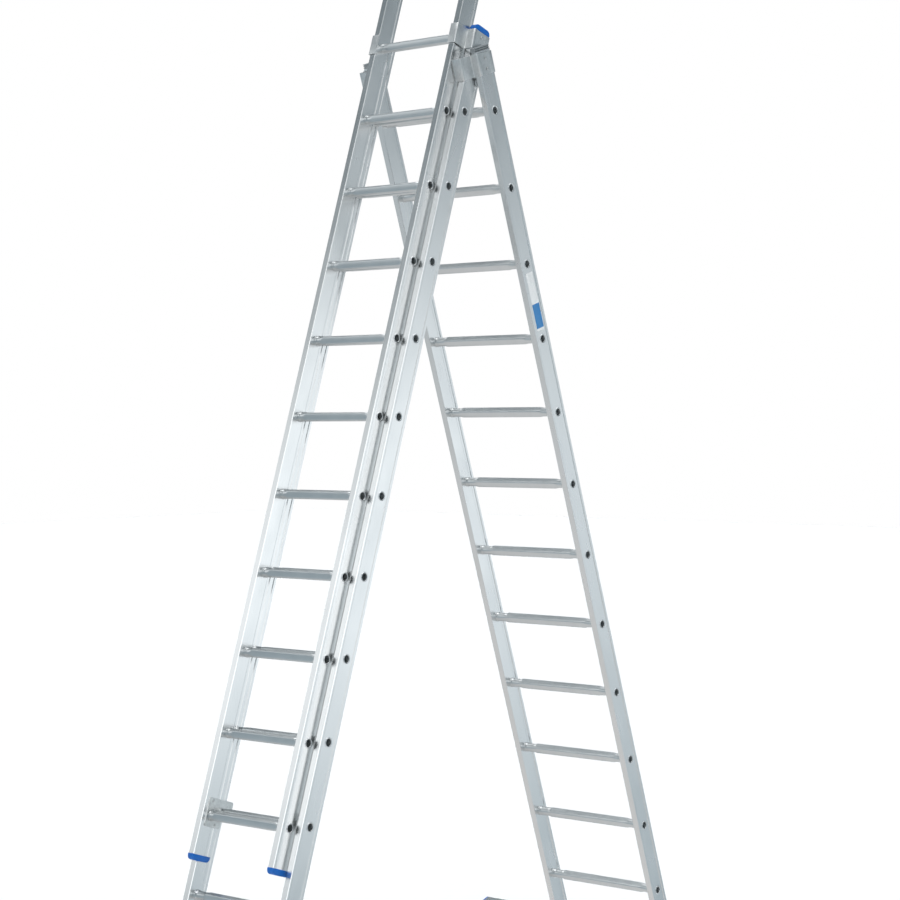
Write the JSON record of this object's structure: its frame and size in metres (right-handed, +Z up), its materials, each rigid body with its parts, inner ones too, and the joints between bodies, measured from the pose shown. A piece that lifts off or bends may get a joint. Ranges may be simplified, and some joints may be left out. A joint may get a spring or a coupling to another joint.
{
  "type": "combination ladder",
  "caption": "Free-standing A-frame combination ladder with a hinged rear section, a hooked upper section that slides out past the apex, and a wide stabiliser bar",
  "frame": {"origin": "on the floor, midway between the front and rear feet and between the stiles", "axes": "+Z up, X along the rungs with +X to the right of someone facing the front, -Y towards the climber at the front"},
  "size_m": [1.352, 2.308, 3.99],
  "materials": {
    "stile_aluminium": "extruded, satin, bluish",
    "rung_aluminium": "extruded, satin, grooved tread",
    "bracket_aluminium": "extruded, satin",
    "bar_aluminium": "extruded, satin",
    "rivet_aluminium": "plain, slightly dull",
    "hook_steel": "zinc plated sheet",
    "zinc_steel": "zinc plated",
    "blue_plastic": "moulded, semi-gloss",
    "foot_plastic": "moulded, slightly soft, semi-matt",
    "label_film": "printed vinyl film",
    "grey_plastic": "moulded, matt"
  },
  "bodies": {
    "middle_section": {"hinge_pins": "zinc_steel", "hinge_spacers": "grey_plastic", "middle_bracket_left": "bracket_aluminium", "middle_bracket_right": "bracket_aluminium", "middle_feet": "foot_plastic", "middle_rivets": "rivet_aluminium", "middle_rung_01": "rung_aluminium", "middle_rung_02": "rung_aluminium", "middle_rung_03": "rung_aluminium", "middle_rung_04": "rung_aluminium", "middle_rung_05": "rung_aluminium", "middle_rung_06": "rung_aluminium", "middle_rung_07": "rung_aluminium", "middle_rung_08": "rung_aluminium", "middle_rung_09": "rung_aluminium", "middle_rung_10": "rung_aluminium", "middle_rung_11": "rung_aluminium", "middle_rung_12": "rung_aluminium", "middle_stile_left": "stile_aluminium", "middle_stile_right": "stile_aluminium", "middle_top_caps": "blue_plastic"},
    "lower_section": {"lower_bracket_left": "bracket_aluminium", "lower_bracket_right": "bracket_aluminium", "lower_end_plugs": "grey_plastic", "lower_rivets": "rivet_aluminium", "lower_rung_01": "rung_aluminium", "lower_rung_02": "rung_aluminium", "lower_rung_03": "rung_aluminium", "lower_rung_04": "rung_aluminium", "lower_rung_05": "rung_aluminium", "lower_rung_06": "rung_aluminium", "lower_rung_07": "rung_aluminium", "lower_rung_08": "rung_aluminium", "lower_rung_09": "rung_aluminium", "lower_rung_10": "rung_aluminium", "lower_rung_11": "rung_aluminium", "lower_rung_12": "rung_aluminium", "lower_stile_left": "stile_aluminium", "lower_stile_right": "stile_aluminium", "stabiliser_bar": "bar_aluminium", "stabiliser_bolts": "zinc_steel", "stabiliser_feet": "foot_plastic"},
    "upper_section": {"upper_end_caps": "blue_plastic", "upper_hook_left": "hook_steel", "upper_hook_right": "hook_steel", "upper_rivets": "rivet_aluminium", "upper_rung_01": "rung_aluminium", "upper_rung_02": "rung_aluminium", "upper_rung_03": "rung_aluminium", "upper_rung_04": "rung_aluminium", "upper_rung_05": "rung_aluminium", "upper_rung_06": "rung_aluminium", "upper_rung_07": "rung_aluminium", "upper_rung_08": "rung_aluminium", "upper_rung_09": "rung_aluminium", "upper_rung_10": "rung_aluminium", "upper_rung_11": "rung_aluminium", "upper_rung_12": "rung_aluminium", "upper_stile_left": "stile_aluminium", "upper_stile_right": "stile_aluminium"}
  },
  "joints": [
    {"name": "leg_hinge", "type": "hinge", "parent": "middle_section", "child": "lower_section", "pos_m": [0, 0, 3.25294], "axis": [1, 0, 0], "range_deg": [-36.84, 0]},
    {"name": "upper_slide", "type": "slide", "parent": "middle_section", "child": "upper_section", "axis": [0, 0.316, 0.9488], "range_m": [-0.56, 1.12]}
  ]
}
